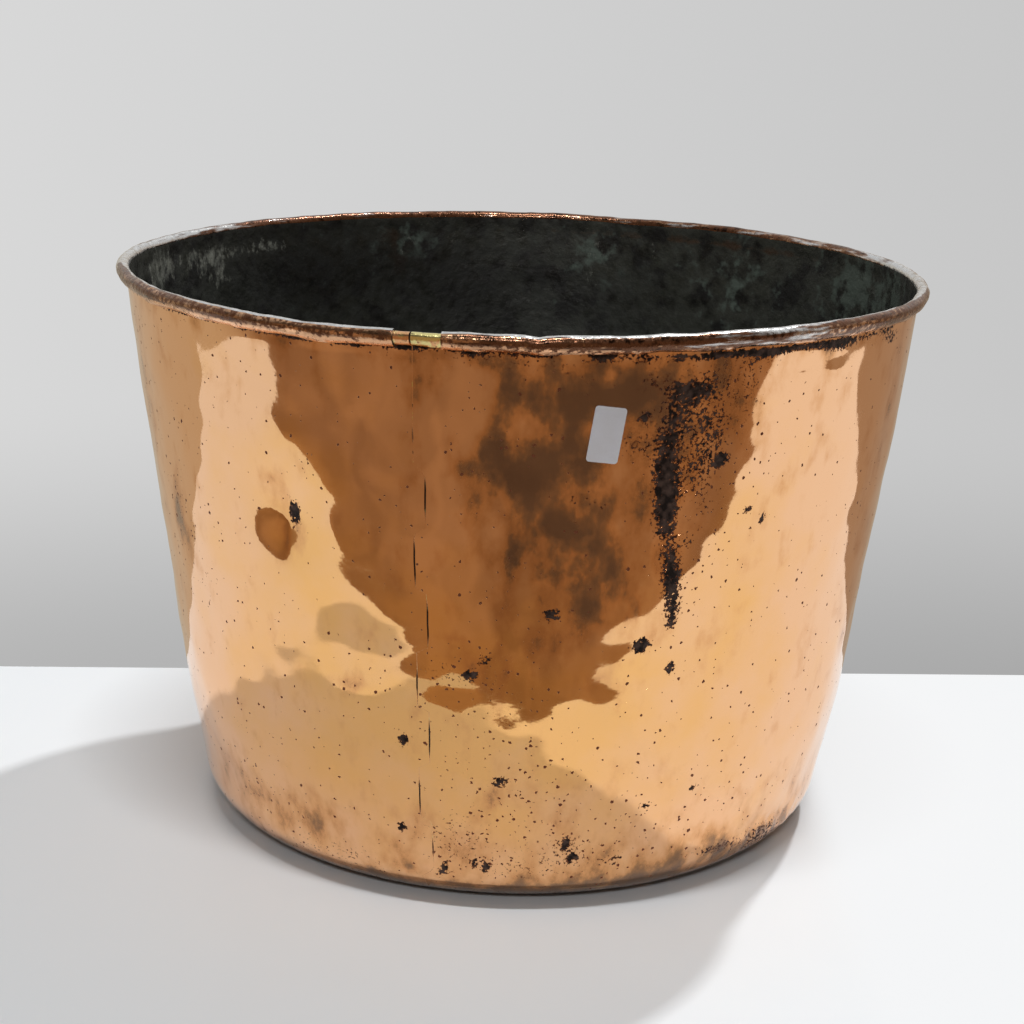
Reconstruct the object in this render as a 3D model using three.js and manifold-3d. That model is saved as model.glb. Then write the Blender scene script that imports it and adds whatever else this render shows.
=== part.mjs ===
// A 24-inch laundry copper: a deep wash boiler beaten up from sheet copper.
// The wall is one sheet, closed by an upright cramped seam (square teeth, brazed) at the front.
// Its top edge is rolled outwards round an iron wire, and a dished base is cramped and brazed in
// at the heel. Millimetres, +Z up, the origin in the middle of the flat underside.
// The front, where the seam is, faces -Y. Azimuths turn from the front towards +X.

import * as THREE from 'three';
import { mergeVertices } from 'three/addons/utils/BufferGeometryUtils.js';
import Module from 'manifold-3d';

// Overall sizes
const rimDiameter = 610;
const overallHeight = 426;
const sheetThickness = 1.4;

// Rolled rim
const wireDiameter = 6;
const wireClearance = 0.3;
const lipDrop = 2.6;
const lipClearance = 0.3;
const neckHeight = 11;

// Curves of the wall, from the floor up: each is an arc, and each angle is the slope where it ends
const heelRadius = 49;
const heelSlope = 74.5;
const bellyRadius = 650;
const bellySlope = 81;
const shoulderSlope = 84.5;

// Cramped joints
const jointClearance = 0.3;
const brazeWidth = 1.6;
const sideSeamAzimuth = -13;
const sideSeamLead = 94.5;
const sideToothDepth = 8;
const sideToothPitch = 43.5;
const sideSeamFootHeight = 22;
const baseToothCount = 16;
const baseToothHeight = 6;
const baseToothDepth = 8;

// Brass run over the joint in the rolled rim, which has since cracked through
const rimBrazeLeftLength = 11.5;
const rimBrazeRightLength = 20.5;
const rimCrackWidth = 1.2;
const rimBrazeAngle = 150;

// Blank paper label
const labelWidth = 21.2;
const labelLength = 38.1;
const labelCorner = 2.2;
const labelThickness = 0.25;
const labelClearance = 0.3;
const labelAzimuth = 11.1;
const labelDrop = 66.5;
const labelTilt = 7;

// Fineness of the facets
const turnSteps = 96;
const heelSteps = 6;
const bellySteps = 3;
const wallSteps = 6;
const rollStep = 30;
const wireSides = 10;

const radians = THREE.MathUtils.degToRad;
const sine = (degrees) => Math.sin(radians(degrees));
const cosine = (degrees) => Math.cos(radians(degrees));

// Values that follow from the sizes above
const wireRadius = wireDiameter / 2;
// The facets of the roll come nearer to the wire than its corners do.
const rollInner = (wireRadius + wireClearance) / cosine(rollStep / 2);
const rollOuter = rollInner + sheetThickness;
const neckRadius = rimDiameter / 2 - rollInner - rollOuter;
const wireRing = neckRadius + rollInner;
const wireHeight = overallHeight - rollOuter;
const neckFoot = wireHeight - neckHeight;
const lipRadius = neckRadius + lipClearance + sheetThickness;
const lipFoot = wireHeight - rollOuter - lipDrop;
const labelMiddle = overallHeight - labelDrop;
const jointHalf = brazeWidth / 2 + jointClearance;
const farOut = rimDiameter;

const wasm = await Module();
wasm.setup();
const { Manifold, Mesh } = wasm;

// A closed three.js geometry as a solid that can be cut and joined.
function solid(geometry) {
  geometry.deleteAttribute('normal');
  geometry.deleteAttribute('uv');
  const merged = mergeVertices(geometry, 1e-5);
  const made = new Manifold(new Mesh({
    numProp: 3,
    vertProperties: Float32Array.from(merged.attributes.position.array),
    triVerts: Uint32Array.from(merged.index.array),
  }));
  return made;
}

// A solid as a three.js geometry.
function geometryOf(made) {
  const mesh = made.getMesh();
  const geometry = new THREE.BufferGeometry();
  geometry.setAttribute('position', new THREE.BufferAttribute(mesh.vertProperties, 3));
  geometry.setIndex(new THREE.BufferAttribute(mesh.triVerts, 1));
  geometry.computeVertexNormals();
  return geometry;
}

function joined(solids) {
  return solids.reduce((sum, next) => sum.add(next));
}

// Turns an outline of [radius, height] points round the Z axis.
// The outline runs anticlockwise, seen with the radius to the right and the height up.
function turned(outline) {
  const points = outline.map(([radius, height]) => new THREE.Vector2(radius, height));
  const first = points[0];
  const last = points[points.length - 1];
  if (first.x > 0 || last.x > 0) {
    points.push(first.clone());
  }
  const geometry = new THREE.LatheGeometry(points, turnSteps);
  geometry.rotateX(Math.PI / 2);
  return solid(geometry);
}

// A wedge of the space round the Z axis, between two azimuths in degrees.
function wedge(fromAzimuth, toAzimuth, foot, top) {
  const shape = new THREE.Shape([
    new THREE.Vector2(0, 0),
    new THREE.Vector2(farOut * sine(fromAzimuth), -farOut * cosine(fromAzimuth)),
    new THREE.Vector2(farOut * sine(toAzimuth), -farOut * cosine(toAzimuth)),
  ]);
  const geometry = new THREE.ExtrudeGeometry(shape, { depth: top - foot, bevelEnabled: false });
  geometry.translate(0, 0, foot);
  return solid(geometry);
}

// A prism that runs outwards from the axis at an azimuth. Its shape is drawn on the wall as
// someone facing it sees it: x to the right along the wall, y up.
function radialPrism(shape, azimuth) {
  const geometry = new THREE.ExtrudeGeometry(shape, { depth: farOut / 2, bevelEnabled: false });
  geometry.rotateX(Math.PI / 2);
  geometry.translate(0, -farOut / 8, 0);
  geometry.rotateZ(radians(azimuth));
  return solid(geometry);
}

function degreesAlong(arc, radius) {
  return THREE.MathUtils.radToDeg(arc / radius);
}

// Stations up the outer face of the sheet, from the edge of the flat floor to the neck.
// Each has its radius, height and slope; a slope of 0 is level and 90 is upright.
function outerStations() {
  const arc = (radius, fromSlope, toSlope, steps, start) => {
    const found = [];
    for (let i = 1; i <= steps; i += 1) {
      const slope = fromSlope + (toSlope - fromSlope) * i / steps;
      found.push({
        radius: start.radius + radius * (sine(slope) - sine(fromSlope)),
        height: start.height + radius * (cosine(fromSlope) - cosine(slope)),
        slope,
      });
    }
    return found;
  };
  const last = (list) => list[list.length - 1];
  const floorEdge = { radius: 0, height: 0, slope: 0 };
  const heel = arc(heelRadius, 0, heelSlope, heelSteps, floorEdge);
  const belly = arc(bellyRadius, heelSlope, bellySlope, bellySteps, last(heel));
  const wallRise = neckFoot - last(belly).height;
  const wallRadius = wallRise / (cosine(bellySlope) - cosine(shoulderSlope));
  const wall = arc(wallRadius, bellySlope, shoulderSlope, wallSteps, last(belly));
  const floorRadius = neckRadius - last(wall).radius;
  return [floorEdge, ...heel, ...belly, ...wall].map((station) => ({
    ...station,
    radius: station.radius + floorRadius,
  }));
}

// The stations moved out square to the sheet, or inwards when the distance is negative.
function offsetStations(stations, distance) {
  return stations.map(({ radius, height, slope }) => [
    radius + distance * sine(slope),
    height - distance * cosine(slope),
  ]);
}

function rollArc(radius, fromAngle, toAngle) {
  const steps = Math.max(1, Math.round(Math.abs(toAngle - fromAngle) / rollStep));
  const points = [];
  for (let i = 0; i <= steps; i += 1) {
    const angle = fromAngle + (toAngle - fromAngle) * i / steps;
    points.push([wireRing + radius * cosine(angle), wireHeight + radius * sine(angle)]);
  }
  return points;
}

const stations = outerStations();

// Where the rolled sheet turns down into the lip that lies on the neck.
const lipOuterAngle = -THREE.MathUtils.radToDeg(Math.acos((lipRadius - wireRing) / rollOuter));
const lipInnerAngle = -THREE.MathUtils.radToDeg(
  Math.acos((neckRadius + lipClearance - wireRing) / rollInner),
);

// The whole sheet in section: floor, heel, wall, neck and the roll round the wire.
function vesselOutline() {
  const inner = offsetStations(stations, -sheetThickness);
  return [
    [0, 0],
    ...offsetStations(stations, 0),
    ...rollArc(rollInner, 180, lipInnerAngle),
    [neckRadius + lipClearance, lipFoot],
    [lipRadius, lipFoot],
    ...rollArc(rollOuter, lipOuterAngle, 180),
    [neckRadius - sheetThickness, neckFoot],
    ...inner.slice(0, -1).reverse(),
    [0, sheetThickness],
  ];
}

// The rolled part and its lip alone in section, which is brass at the joint.
function rimBrazeOutline() {
  return [
    ...rollArc(rollInner, rimBrazeAngle, lipInnerAngle),
    [neckRadius + lipClearance, lipFoot],
    [lipRadius, lipFoot],
    ...rollArc(rollOuter, lipOuterAngle, rimBrazeAngle),
  ];
}

// The room the brass needs: all of the rolled part that lies outside the neck.
function rimNotchOutline() {
  const angle = rimBrazeAngle + THREE.MathUtils.radToDeg(jointClearance / rollInner);
  const reach = 2 * rollOuter;
  const inside = neckRadius + lipClearance / 2;
  return [
    [wireRing, wireHeight],
    [inside, wireHeight],
    [inside, lipFoot - reach],
    [farOut, lipFoot - reach],
    [farOut, wireHeight + reach],
    [wireRing + reach * cosine(angle), wireHeight + reach],
    [wireRing + reach * cosine(angle), wireHeight + reach * sine(angle)],
  ];
}

// Everything below the toothed line round the heel. The offset raises the line and widens its teeth.
function belowBaseJoint(offset) {
  const low = baseToothHeight + offset;
  const high = baseToothHeight + baseToothDepth + offset;
  const pitch = 360 / baseToothCount;
  const spread = degreesAlong(offset, stations[0].radius + heelRadius / 2);
  const floor = new THREE.CylinderGeometry(farOut, farOut, low + sheetThickness, turnSteps);
  floor.rotateX(Math.PI / 2);
  floor.translate(0, 0, (low - sheetThickness) / 2);
  const teeth = [];
  for (let i = 0; i < baseToothCount; i += 1) {
    const from = sideSeamAzimuth + pitch * i;
    teeth.push(wedge(from - spread, from + pitch / 2 + spread, -sheetThickness, high));
  }
  return joined([solid(floor), ...teeth]);
}

// The toothed line of the upright seam, as a band of the given half width, from below the floor up.
// It starts with a straight lead under the rim, and then steps from side to side.
function sideSeamBand(half) {
  const rows = [];
  const reach = sideToothDepth / 2 + half;
  let side = -1;
  let top = overallHeight + sideToothDepth;
  let foot = overallHeight - sideSeamLead;
  while (top > sideSeamFootHeight) {
    const middle = side * sideToothDepth / 2;
    rows.push([middle - half, middle + half, foot - half, top + half]);
    rows.push([-reach, reach, foot - half, foot + half]);
    side = -side;
    top = foot;
    foot -= sideToothPitch;
  }
  return joined(rows.map(([left, right, foot, top]) => radialPrism(new THREE.Shape([
    new THREE.Vector2(left, foot),
    new THREE.Vector2(right, foot),
    new THREE.Vector2(right, top),
    new THREE.Vector2(left, top),
  ]), sideSeamAzimuth)));
}

// Azimuths of the brass run on the rim, on each side of its crack.
const crackAzimuth = sideSeamAzimuth - degreesAlong(sideToothDepth / 2, wireRing);
const crackHalf = degreesAlong(rimCrackWidth / 2, wireRing);
const brazeLeftEnd = crackAzimuth - degreesAlong(rimBrazeLeftLength, wireRing);
const brazeRightEnd = crackAzimuth + degreesAlong(rimBrazeRightLength, wireRing);
const rimGap = degreesAlong(jointClearance, wireRing);

const vessel = turned(vesselOutline());

function wallSheet() {
  const rimNotch = turned(rimNotchOutline())
    .intersect(wedge(brazeLeftEnd - rimGap, brazeRightEnd + rimGap, 0, farOut));
  return vessel
    .subtract(belowBaseJoint(jointHalf))
    .subtract(sideSeamBand(jointHalf))
    .subtract(rimNotch);
}

function basePan() {
  return vessel.intersect(belowBaseJoint(-jointHalf));
}

function baseSeamBraze() {
  return vessel
    .intersect(belowBaseJoint(brazeWidth / 2))
    .subtract(belowBaseJoint(-brazeWidth / 2));
}

function sideSeamBraze() {
  const insideRoll = neckRadius + lipClearance / 2;
  const core = turned([[0, 0], [insideRoll, 0], [insideRoll, wireHeight], [0, wireHeight]]);
  return vessel
    .intersect(core)
    .intersect(sideSeamBand(brazeWidth / 2))
    .subtract(belowBaseJoint(jointHalf));
}

function rimBraze(fromAzimuth, toAzimuth) {
  return turned(rimBrazeOutline()).intersect(wedge(fromAzimuth, toAzimuth, 0, farOut));
}

function rimWire() {
  const section = [];
  for (let i = 0; i < wireSides; i += 1) {
    const angle = 360 * i / wireSides;
    section.push([wireRing + wireRadius * cosine(angle), wireHeight + wireRadius * sine(angle)]);
  }
  return turned(section)
    .subtract(wedge(crackAzimuth - crackHalf, crackAzimuth + crackHalf, 0, farOut));
}

function roundedRectangle(width, length, corner) {
  const shape = new THREE.Shape();
  const x = width / 2;
  const y = length / 2;
  shape.moveTo(-x + corner, -y);
  shape.absarc(x - corner, -y + corner, corner, -Math.PI / 2, 0);
  shape.absarc(x - corner, y - corner, corner, 0, Math.PI / 2);
  shape.absarc(-x + corner, y - corner, corner, Math.PI / 2, Math.PI);
  shape.absarc(-x + corner, -y + corner, corner, Math.PI, 1.5 * Math.PI);
  return new THREE.Shape(shape.getPoints(3));
}

function paperLabel() {
  const wall = stations.slice(-wallSteps - 1);
  const skin = turned([
    ...offsetStations(wall, labelClearance + labelThickness),
    ...offsetStations(wall, labelClearance).reverse(),
  ]);
  const outline = roundedRectangle(labelWidth, labelLength, labelCorner).getPoints();
  const placed = outline.map((point) => point
    .rotateAround(new THREE.Vector2(0, 0), radians(-labelTilt))
    .add(new THREE.Vector2(0, labelMiddle)));
  return skin.intersect(radialPrism(new THREE.Shape(placed), labelAzimuth));
}

const copper = new THREE.MeshStandardMaterial({ color: 0xc88a5a, roughness: 0.22, metalness: 1 });
const sootyCopper = new THREE.MeshStandardMaterial({ color: 0x8a5a3c, roughness: 0.4, metalness: 1 });
const brass = new THREE.MeshStandardMaterial({ color: 0xd8c27a, roughness: 0.25, metalness: 1 });
const iron = new THREE.MeshStandardMaterial({ color: 0x4a4541, roughness: 0.7, metalness: 1 });
const paper = new THREE.MeshStandardMaterial({ color: 0xe6e6e8, roughness: 0.8, metalness: 0 });

function piece(name, made, material) {
  const mesh = new THREE.Mesh(geometryOf(made), material);
  mesh.name = name;
  return mesh;
}

const laundryCopper = new THREE.Group();
laundryCopper.add(
  piece('wall_sheet', wallSheet(), copper),
  piece('base_pan', basePan(), sootyCopper),
  piece('side_seam_braze', sideSeamBraze(), brass),
  piece('base_seam_braze', baseSeamBraze(), brass),
  piece('rim_wire', rimWire(), iron),
  piece('rim_braze_left', rimBraze(brazeLeftEnd, crackAzimuth - crackHalf), brass),
  piece('rim_braze_right', rimBraze(crackAzimuth + crackHalf, brazeRightEnd), brass),
  piece('paper_label', paperLabel(), paper),
);

export default laundryCopper;
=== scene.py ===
"""An old laundry copper on a white table: a tapered boiler of sheet copper, polished outside,
with a wired rim, an upright toothed seam, brass at the rim joint and a small blank paper label.

Lengths are in millimetres and angles in degrees until they reach Blender, which takes metres.
The front faces -Y. Azimuths turn from the front towards +X, and a slope is 0 on the floor and
90 on an upright wall.
"""

import math

import bmesh
import bpy
import numpy as np
from mathutils import Matrix, Vector, noise


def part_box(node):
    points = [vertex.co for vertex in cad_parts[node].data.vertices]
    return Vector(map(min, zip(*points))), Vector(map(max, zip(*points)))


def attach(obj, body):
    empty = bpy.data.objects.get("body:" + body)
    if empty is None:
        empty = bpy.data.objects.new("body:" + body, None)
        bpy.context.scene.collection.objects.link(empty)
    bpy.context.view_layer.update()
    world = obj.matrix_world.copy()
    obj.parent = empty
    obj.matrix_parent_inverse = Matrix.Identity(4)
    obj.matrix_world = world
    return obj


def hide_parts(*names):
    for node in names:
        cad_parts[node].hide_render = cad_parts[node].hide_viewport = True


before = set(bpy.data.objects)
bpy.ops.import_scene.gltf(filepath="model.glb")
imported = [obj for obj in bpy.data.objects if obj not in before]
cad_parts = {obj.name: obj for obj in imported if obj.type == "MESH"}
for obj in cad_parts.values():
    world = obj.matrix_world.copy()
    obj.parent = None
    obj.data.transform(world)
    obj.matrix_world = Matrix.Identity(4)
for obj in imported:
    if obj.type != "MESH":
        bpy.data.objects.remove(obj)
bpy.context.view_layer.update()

MM = 0.001

# The sheet and its rolled rim
RIM_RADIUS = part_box("wall_sheet")[1].x / MM
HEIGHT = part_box("wall_sheet")[1].z / MM
SHEET = 1.4
WIRE_RADIUS = 3.0
ROLL_INNER = 3.4
LIP_DROP = 2.6
LIP_CLEARANCE = 0.3
LIP_LEAN = 27
LIP_LENGTH = 2.4
LIP_TUCK = 2.8
LIP_FALL = 0.1
NECK_HEIGHT = 11
ROLL_OUTER = ROLL_INNER + SHEET
NECK_RADIUS = RIM_RADIUS - ROLL_INNER - ROLL_OUTER
WIRE_RING = NECK_RADIUS + ROLL_INNER
WIRE_HEIGHT = HEIGHT - ROLL_OUTER
NECK_FOOT = WIRE_HEIGHT - NECK_HEIGHT
LIP_FOOT = WIRE_HEIGHT - ROLL_OUTER - LIP_DROP

# The wall's curves, from the floor up
HEEL_RADIUS = 49
HEEL_SLOPE = 74.5
BELLY_RADIUS = 650
BELLY_SLOPE = 81
SHOULDER_SLOPE = 84.5

# The cramped seams
SIDE_SEAM = -13
SIDE_LEAD = 94.5
SIDE_TOOTH_PITCH = 43.5
SIDE_TOOTH_DEPTH = 8
SEAM_WIDTH = 0.5
CRACK_WIDTH = 1.3
CRACK_DEPTH = 0.8
CRACK_TAPER = 9
SIDE_TOOTH_CORNER = 1.5
BASE_TEETH = 16
BASE_SEAM_SLOPE = 36.5
BASE_TOOTH_SLOPE = 7.9
BASE_TOOTH_CORNER = 0.35

# The brass at the rim joint
RIM_BRAZE_LEFT = 11.5
RIM_BRAZE_RIGHT = 20.5
RIM_CRACK = 1.2
RIM_BRAZE_ANGLE = 150
RIM_NOTCH_GAP = 0.02

# The paper label
LABEL_WIDTH = 21.2
LABEL_LENGTH = 38.1
LABEL_CORNER = 2.2
LABEL_THICKNESS = 0.2
LABEL_GAP = 0.15
LABEL_AZIMUTH = 11.1
LABEL_DROP = 66.5
LABEL_TILT = 7

# How finely the pieces are divided
COLUMNS = 384
ROW = 4.4
FLOOR_RINGS = 12
ROLL_STEPS = 18
BRAZE_STEPS = 16
LABEL_CELL = 3
SHARP_ANGLE = 40

# The radius at which dents, hammer marks and stains are measured across
MEAN_RADIUS = 280

# A stain that ran down is taller than it is wide
RUNNING_DOWN = (1, 1, 0.6)

# The streaks along the roll are this many times as long as they are wide
ROLL_SHORTENED = 8


def sine(degrees):
    return math.sin(math.radians(degrees))


def cosine(degrees):
    return math.cos(math.radians(degrees))


def degrees_along(arc, radius):
    return math.degrees(arc / radius)


def smooth(low, high, value):
    """0 below low, 1 above high, and an even curve between them."""
    share = min(max((value - low) / (high - low), 0), 1)
    return share * share * (3 - 2 * share)


def bell(value, middle, half_width):
    return math.exp(-(((value - middle) / half_width) ** 2))


def at(azimuth, radius, height):
    """A point in metres from its azimuth, radius and height."""
    return Vector((radius * sine(azimuth), -radius * cosine(azimuth), height)) * MM


def azimuth_of(point):
    return math.degrees(math.atan2(point.x, -point.y))


def turn_between(azimuth, other):
    """The turn from other to azimuth, from -180 to 180."""
    return (azimuth - other + 180) % 360 - 180


# The sheet in section

def rising_arc(start, radius, from_slope, to_slope, steps):
    """Points of an arc that starts at the point and steepens from one slope to the other."""
    return [
        (
            start[0] + radius * (sine(slope) - sine(from_slope)),
            start[1] + radius * (cosine(from_slope) - cosine(slope)),
        )
        for slope in (from_slope + (to_slope - from_slope) * i / steps for i in range(steps + 1))
    ]


def arc_steps(radius, turn):
    return max(2, round(math.radians(turn) * radius / ROW))


def floor_radius():
    """The radius of the flat floor, which brings the top of the wall to the neck."""
    rise = NECK_FOOT - HEEL_RADIUS * (1 - cosine(HEEL_SLOPE))
    rise -= BELLY_RADIUS * (cosine(HEEL_SLOPE) - cosine(BELLY_SLOPE))
    wall_radius = rise / (cosine(BELLY_SLOPE) - cosine(SHOULDER_SLOPE))
    reach = HEEL_RADIUS * sine(HEEL_SLOPE)
    reach += BELLY_RADIUS * (sine(BELLY_SLOPE) - sine(HEEL_SLOPE))
    reach += wall_radius * (sine(SHOULDER_SLOPE) - sine(BELLY_SLOPE))
    return NECK_RADIUS - reach, wall_radius


FLOOR_RADIUS, WALL_CURVE = floor_radius()


def heel_point(slope, radius=HEEL_RADIUS):
    return FLOOR_RADIUS + radius * sine(slope), HEEL_RADIUS - radius * cosine(slope)


def wall_outline(from_slope):
    """The outer face from a slope on the heel up to the wire's height."""
    heel = rising_arc(
        heel_point(from_slope), HEEL_RADIUS, from_slope, HEEL_SLOPE,
        arc_steps(HEEL_RADIUS, HEEL_SLOPE - from_slope),
    )
    belly = rising_arc(
        heel[-1], BELLY_RADIUS, HEEL_SLOPE, BELLY_SLOPE,
        arc_steps(BELLY_RADIUS, BELLY_SLOPE - HEEL_SLOPE),
    )
    wall = rising_arc(
        belly[-1], WALL_CURVE, BELLY_SLOPE, SHOULDER_SLOPE,
        arc_steps(WALL_CURVE, SHOULDER_SLOPE - BELLY_SLOPE),
    )
    neck = [(NECK_RADIUS, NECK_FOOT + NECK_HEIGHT * i / 3) for i in (1, 2)]
    return heel + belly[1:] + wall[1:] + neck


def roll_outline(from_angle, steps):
    """The sheet's face round the wire, then the lip, which leans in and is tucked under."""
    roll = [
        (WIRE_RING + ROLL_INNER * cosine(angle), WIRE_HEIGHT + ROLL_INNER * sine(angle))
        for angle in (from_angle - (LIP_LEAN + from_angle) * i / steps for i in range(steps + 1))
    ]
    last_out, last_up = roll[-1]
    lip_edge = last_out - LIP_LENGTH * sine(LIP_LEAN), last_up - LIP_LENGTH * cosine(LIP_LEAN)
    underside = LIP_FOOT + SHEET
    return roll + [
        lip_edge,
        (NECK_RADIUS + LIP_TUCK, underside + LIP_FALL),
        (NECK_RADIUS + LIP_CLEARANCE, underside),
    ]


WALL_POINTS = wall_outline(0)


def wall_radius(height):
    """The outer radius of the wall at a height."""
    for (low_radius, low), (high_radius, high) in zip(WALL_POINTS, WALL_POINTS[1:]):
        if low <= height <= high:
            return low_radius + (high_radius - low_radius) * (height - low) / (high - low)
    return NECK_RADIUS


# The shapes of the seams

CRACKS = [
    # bottom and top of each stretch where the upright seam has opened
    (347, 362), (297, 329), (247, 285), (204, 240), (165, 190), (119, 152), (73, 106), (38, 58),
]


def side_tooth(height):
    """How far the upright seam's line lies to the right of its middle at a height."""
    half = SIDE_TOOTH_DEPTH / 2
    line = -half
    step = HEIGHT - SIDE_LEAD
    side = 1
    while step > 0:
        line += 2 * half * side * smooth(-SIDE_TOOTH_CORNER, SIDE_TOOTH_CORNER, step - height)
        step -= SIDE_TOOTH_PITCH
        side = -side
    return line


def crack_at(height):
    """1 where the upright seam is open, 0 where it is shut."""
    return max(
        smooth(low, low + CRACK_TAPER, height) - smooth(high - CRACK_TAPER, high, height)
        for low, high in CRACKS
    )


def base_tooth(azimuth):
    """How much the base seam's slope rises above its middle at an azimuth."""
    pitch = 360 / BASE_TEETH
    along = turn_between(azimuth, SIDE_SEAM) % pitch
    corner = BASE_TOOTH_CORNER
    up = smooth(-corner, corner, along) - smooth(-corner, corner, along - pitch / 2)
    up += smooth(-corner, corner, along - pitch)
    return BASE_TOOTH_SLOPE * (2 * up - 1)


def shape_to_seams(bm):
    """Moves the vertices near each seam along the sheet, so that its edges get their teeth."""
    for vert in bm.verts:
        radius, height = vert.co.xy.length / MM, vert.co.z / MM
        azimuth = azimuth_of(vert.co)
        out, down = radius - FLOOR_RADIUS, HEEL_RADIUS - height
        if out > 0 and down > 0:
            slope, from_middle = math.degrees(math.atan2(out, down)), math.hypot(out, down)
            near = 1 - smooth(0, 26, abs(slope - BASE_SEAM_SLOPE))
            slope += near * base_tooth(azimuth)
            radius, height = heel_point(slope, from_middle)
        if radius > 0:
            away = turn_between(azimuth, SIDE_SEAM) * math.radians(radius)
            near = 1 - smooth(2, 45, abs(away))
            opening = crack_at(height) * (CRACK_WIDTH - SEAM_WIDTH) / 2
            waver = 0.5 * noise.noise(Vector((height / 13, 4, 4)))
            side = min(max(away / (SEAM_WIDTH / 2), -1), 1)
            azimuth += near * degrees_along(side_tooth(height) + waver + side * opening, radius)
        vert.co = at(azimuth, radius, height)


# Age: dents, the bent rim and the beaten surface

HAMMER_MARKS = [
    # size, where the pattern starts, and depth
    (46, (7, 3, 1), 0.9), (21, (1, 8, 5), 0.38), (10, (4, 2, 6), 0.09),
]

DENTS = [
    # azimuth, height, half width, half height, depth
    (-34.5, 283, 26, 33, 9.0),
    (-24, 196, 36, 27, 2.0),
    (-32.4, 331.5, 5, 4, 0.35),
    (-8, 172, 18, 8, 0.5),
    (1, 315, 12, 14, 0.8),
    (3.4, 350, 26, 20, 0.9),
    (11, 288, 18, 10, 0.6),
    (20.9, 279, 6, 6, 1.1),
    (28, 175, 30, 26, 0.9),
    (36.5, 250, 9, 7, 1.1), (27, 206, 8, 8, 0.9),
    (41, 330, 7, 16, 0.5),
    (39, 397, 8, 3, 1.2), (46, 399, 7, 3, 1.5), (44, 390, 12, 4, -0.6),
    (30, 66, 5, 9, 0.7),
    (45, 75, 5, 9, 0.6),
    (52, 40, 30, 10, 1.6),
    (62, 150, 30, 50, -1.2),
    (-58, 120, 30, 40, -1.2),
    (120, 210, 30, 38, 1.8),
    (-150, 120, 26, 30, 1.6),
    (170, 300, 36, 20, 1.2),
    (85, 330, 16, 22, 1.4),
    (-110, 320, 20, 16, 1.5),
]


def dented(azimuth, height):
    """How far the dents and bulges move the wall out at a place."""
    outward = 0
    for centre, middle, half_width, half_height, depth in DENTS:
        across = turn_between(azimuth, centre) * math.radians(MEAN_RADIUS) / half_width
        along = (height - middle) / half_height
        if abs(across) < 3 and abs(along) < 3:
            outward -= depth * math.exp(-(across * across + along * along))
    return outward


def weathered(point):
    """Where a point of the new vessel is now, after its years of use."""
    radius, height = point.xy.length / MM, point.z / MM
    azimuth = azimuth_of(point)
    if radius < 1:
        return point
    spot = Vector((sine(azimuth) * MEAN_RADIUS, -cosine(azimuth) * MEAN_RADIUS, height))
    # The wall swells a little out of round, and is beaten and dented below the stiff rim
    off_floor = smooth(4, 60, height)
    below_rim = 1 - smooth(350, 415, height)
    outward = 1.5 * noise.noise(spot / 120) * off_floor
    hammered = sum(
        depth * noise.noise(spot / size + Vector(start)) for size, start, depth in HAMMER_MARKS
    )
    outward += hammered * off_floor * (0.25 + 0.75 * below_rim)
    outward += dented(azimuth, height) * smooth(2, 20, height) * (0.2 + 0.8 * below_rim)
    # The heel spread under its load, and is crumpled on the right
    squashed = 4.0 * (1 - smooth(5, 60, height)) + 1.6 * (1 - smooth(110, 200, height))
    outward += squashed * smooth(120, 190, radius)
    crumpled = bell(azimuth, 50, 15) * bell(height, 26, 14)
    outward += crumpled * (3.4 * noise.noise(spot / 8) - 1.2)
    # The rim is pulled oval and out at the left, and the wall flares below it in two places
    high = smooth(250, HEIGHT, height)
    outward += high * (1.2 * cosine(2 * azimuth - 120) + 4.0 * bell(azimuth, -88, 20))
    flared = smooth(368, 412, height)
    outward += flared * (1.5 * bell(azimuth, -57, 12) + 1.1 * bell(azimuth, 56, 11))
    at_rim = smooth(NECK_FOOT, WIRE_HEIGHT, height)
    outward += at_rim * 0.5 * noise.noise(Vector((azimuth / 3.1, 3, 7)))
    # The rim waves up and down, its lip more so, and it is nicked beside the brass
    lift = smooth(330, HEIGHT, height) * (
        0.9 * noise.noise(Vector((azimuth / 17, 5, 2))) + 0.5 * noise.noise(Vector((azimuth / 5, 1, 9)))
    )
    lift += high * (1.3 * bell(azimuth, 36, 20) - 1.6 * bell(azimuth, -36, 20))
    lift += at_rim * 0.5 * noise.noise(Vector((azimuth / 2.3, height / 3, 4)))
    on_lip = smooth(NECK_RADIUS + 0.1, NECK_RADIUS + 0.3, radius)
    on_lip *= 1 - smooth(-6, -1, height - WIRE_HEIGHT)
    lift += on_lip * (
        1.2 * noise.noise(Vector((azimuth / 7, 2, 8))) + 0.5 * noise.noise(Vector((azimuth / 2, 7, 3)))
    )
    lift -= at_rim * 1.1 * bell(azimuth, 1.8, 0.8)
    return at(azimuth, radius + outward, height + lift)


def weather(bm):
    for vert in bm.verts:
        vert.co = weathered(vert.co)


def seam_and_weather(bm):
    shape_to_seams(bm)
    weather(bm)


# Making pieces

def spun(outline, from_azimuth, to_azimuth, steps):
    """A surface spun from an outline of (radius, height) points."""
    bm = bmesh.new()
    verts = [bm.verts.new(at(from_azimuth, radius, height)) for radius, height in outline]
    edges = [bm.edges.new(pair) for pair in zip(verts, verts[1:])]
    turn = to_azimuth - from_azimuth
    bmesh.ops.spin(
        bm, geom=verts + edges, cent=(0, 0, 0), axis=(0, 0, 1),
        angle=math.radians(turn), steps=steps, use_merge=turn == 360,
    )
    bmesh.ops.remove_doubles(bm, verts=bm.verts, dist=0.00001)
    bm.normal_update()
    return bm


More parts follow.
